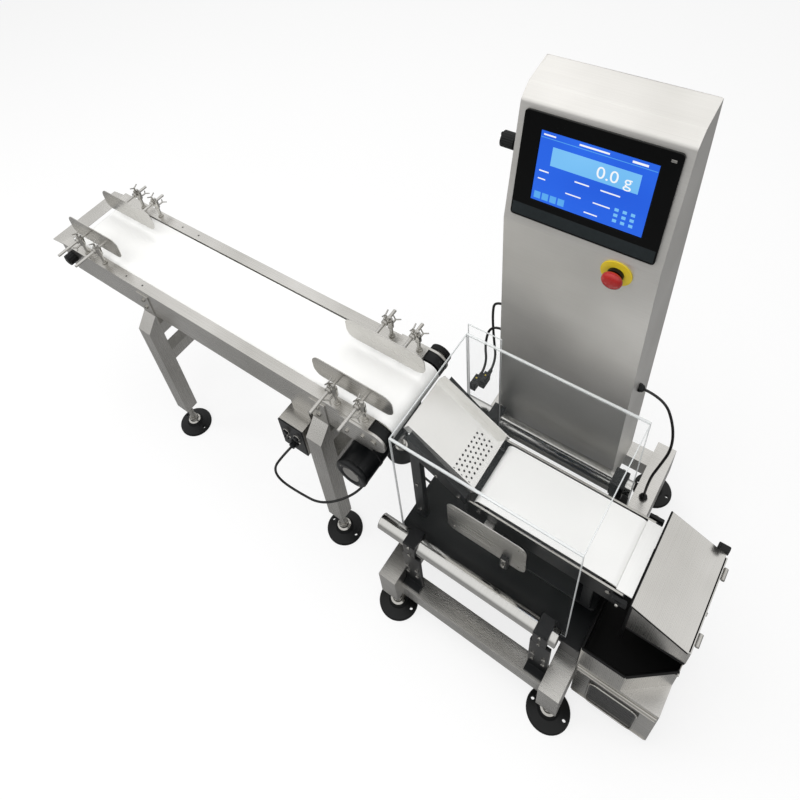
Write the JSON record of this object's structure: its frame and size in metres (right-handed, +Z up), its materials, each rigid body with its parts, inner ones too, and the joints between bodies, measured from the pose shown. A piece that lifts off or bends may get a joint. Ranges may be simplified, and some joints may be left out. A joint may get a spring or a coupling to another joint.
{
  "type": "checkweigher",
  "caption": "Checkweigher: belt infeed with side guides, perforated slide, short weigh belt under a clear cover, operator console and collecting bin",
  "frame": {"origin": "middle of the front left levelling foot of the weigher, on the floor", "axes": "+X product flow, +Y from the operator side to the console, +Z up"},
  "size_m": [1.7957, 0.7058, 1.258],
  "materials": {
    "stainless": "brushed",
    "turned_steel": "turned",
    "conveyor_belt": "matte",
    "black_belt": "matte",
    "black_plastic": "moulded",
    "black_coat": "satin",
    "aluminium": "anodised",
    "clear_sheet": "clear",
    "screen_glass": "gloss",
    "red_plastic": "gloss",
    "yellow_plastic": "satin",
    "grey_plastic": "moulded",
    "cable_jacket": "matte"
  },
  "bodies": {
    "machine": {"infeed_rails": "stainless", "infeed_bed": "stainless", "infeed_belt": "conveyor_belt", "guide_clamps": "turned_steel", "infeed_legs": "stainless", "foot_pads": "black_plastic", "foot_screws": "turned_steel", "infeed_motor": "black_coat", "infeed_end_plates": "stainless", "infeed_drive_belt": "black_belt", "control_box": "stainless", "control_panel": "black_coat", "base_frame": "stainless", "cover_tubes": "turned_steel", "tube_mounts": "black_coat", "frame_bolts": "turned_steel", "load_cell": "aluminium", "base_plate": "black_coat", "weigh_carrier": "black_coat", "weigh_belt": "conveyor_belt", "weigh_bed": "black_coat", "weigh_motor": "black_coat", "weigh_front_plate": "stainless", "weigh_end_brackets": "black_coat", "slide": "stainless", "slide_supports": "black_coat", "sensors": "black_plastic", "rear_screen": "stainless", "console_cabinet": "stainless", "console_electrics": "grey_plastic", "display_bezel": "black_plastic", "display_glass": "screen_glass", "estop_ring": "yellow_plastic", "switch_collars": "black_plastic", "bin_body": "stainless", "hinge_pins": "turned_steel", "cable_glands": "grey_plastic", "sensor_lead_a": "cable_jacket", "sensor_lead_b": "cable_jacket", "console_lead": "cable_jacket", "motor_lead": "cable_jacket", "link_lead": "cable_jacket"},
    "infeed_drive_roll": {"infeed_drive_roller": "turned_steel"},
    "infeed_tail_roll": {"infeed_tail_roller": "turned_steel", "tail_knob": "black_plastic"},
    "motor_pulley": {"infeed_motor_pulley": "aluminium"},
    "weigh_drive_roll": {"weigh_drive_roller": "turned_steel"},
    "weigh_idle_roll": {"weigh_idle_roller": "turned_steel"},
    "guide_head_near_set": {"guide_head_near": "stainless"},
    "guide_head_far_set": {"guide_head_far": "stainless"},
    "guide_tail_near_set": {"guide_tail_near": "stainless"},
    "guide_tail_far_set": {"guide_tail_far": "stainless"},
    "clear_cover": {"cover": "clear_sheet"},
    "rear_door": {"console_door": "stainless"},
    "quarter_turn_lock": {"door_lock": "turned_steel"},
    "stop_button": {"estop_button": "red_plastic"},
    "selector": {"selector_knob": "black_plastic"},
    "outlet_lid": {"bin_lid": "stainless"},
    "collecting_drawer": {"bin_drawer": "stainless", "bin_window": "clear_sheet"}
  },
  "joints": [
    {"name": "infeed_drive_spin", "type": "hinge", "parent": "machine", "child": "infeed_drive_roll", "pos_m": [-0.068, 0.208, 0.5817], "axis": [0, 1, 0], "continuous": true},
    {"name": "infeed_tail_spin", "type": "hinge", "parent": "machine", "child": "infeed_tail_roll", "pos_m": [-1.105, 0.208, 0.5817], "axis": [0, 1, 0], "continuous": true},
    {"name": "motor_pulley_spin", "type": "hinge", "parent": "machine", "child": "motor_pulley", "pos_m": [-0.118, 0.331, 0.452], "axis": [0, 1, 0], "continuous": true},
    {"name": "weigh_drive_spin", "type": "hinge", "parent": "machine", "child": "weigh_drive_roll", "pos_m": [0.43, 0.208, 0.4672], "axis": [0, 1, 0], "continuous": true},
    {"name": "weigh_idle_spin", "type": "hinge", "parent": "machine", "child": "weigh_idle_roll", "pos_m": [0.158, 0.208, 0.4672], "axis": [0, 1, 0], "continuous": true},
    {"name": "guide_head_near_slide", "type": "slide", "parent": "machine", "child": "guide_head_near_set", "axis": [0, 1, 0], "range_m": [-0.01, 0.03]},
    {"name": "guide_head_far_slide", "type": "slide", "parent": "machine", "child": "guide_head_far_set", "axis": [0, -1, 0], "range_m": [-0.025, 0.03]},
    {"name": "guide_tail_near_slide", "type": "slide", "parent": "machine", "child": "guide_tail_near_set", "axis": [0, 1, 0], "range_m": [-0.01, 0.03]},
    {"name": "guide_tail_far_slide", "type": "slide", "parent": "machine", "child": "guide_tail_far_set", "axis": [0, -1, 0], "range_m": [-0.025, 0.03]},
    {"name": "cover_lift", "type": "slide", "parent": "machine", "child": "clear_cover", "axis": [0, 0, 1], "range_m": [0, 0.45]},
    {"name": "door_swing", "type": "hinge", "parent": "machine", "child": "rear_door", "pos_m": [0.3173, 0.5973, 0.7215], "axis": [0, 0, -1], "range_deg": [0, 110]},
    {"name": "lock_turn", "type": "hinge", "parent": "rear_door", "child": "quarter_turn_lock", "pos_m": [0.066, 0.594, 0.7215], "axis": [0, 1, 0], "range_deg": [0, 90]},
    {"name": "stop_push", "type": "slide", "parent": "machine", "child": "stop_button", "axis": [0, 1, 0], "range_m": [0, 0.006], "stiffness_N_per_m": 900},
    {"name": "selector_turn", "type": "hinge", "parent": "machine", "child": "selector", "pos_m": [0.01, 0.5, 1.122], "axis": [1, 0, 0], "range_deg": [-45, 45]},
    {"name": "lid_hinge", "type": "hinge", "parent": "machine", "child": "outlet_lid", "pos_m": [0.5937, 0.224, 0.422], "axis": [0, 1, 0], "range_deg": [0, 100]},
    {"name": "drawer_slide", "type": "slide", "parent": "machine", "child": "collecting_drawer", "axis": [0, -1, 0], "range_m": [0, 0.2]}
  ],
  "couplings": [
    {"joint": "infeed_tail_spin", "follows": "infeed_drive_spin", "ratio": 1},
    {"joint": "motor_pulley_spin", "follows": "infeed_drive_spin", "ratio": 1},
    {"joint": "weigh_idle_spin", "follows": "weigh_drive_spin", "ratio": 1}
  ]
}
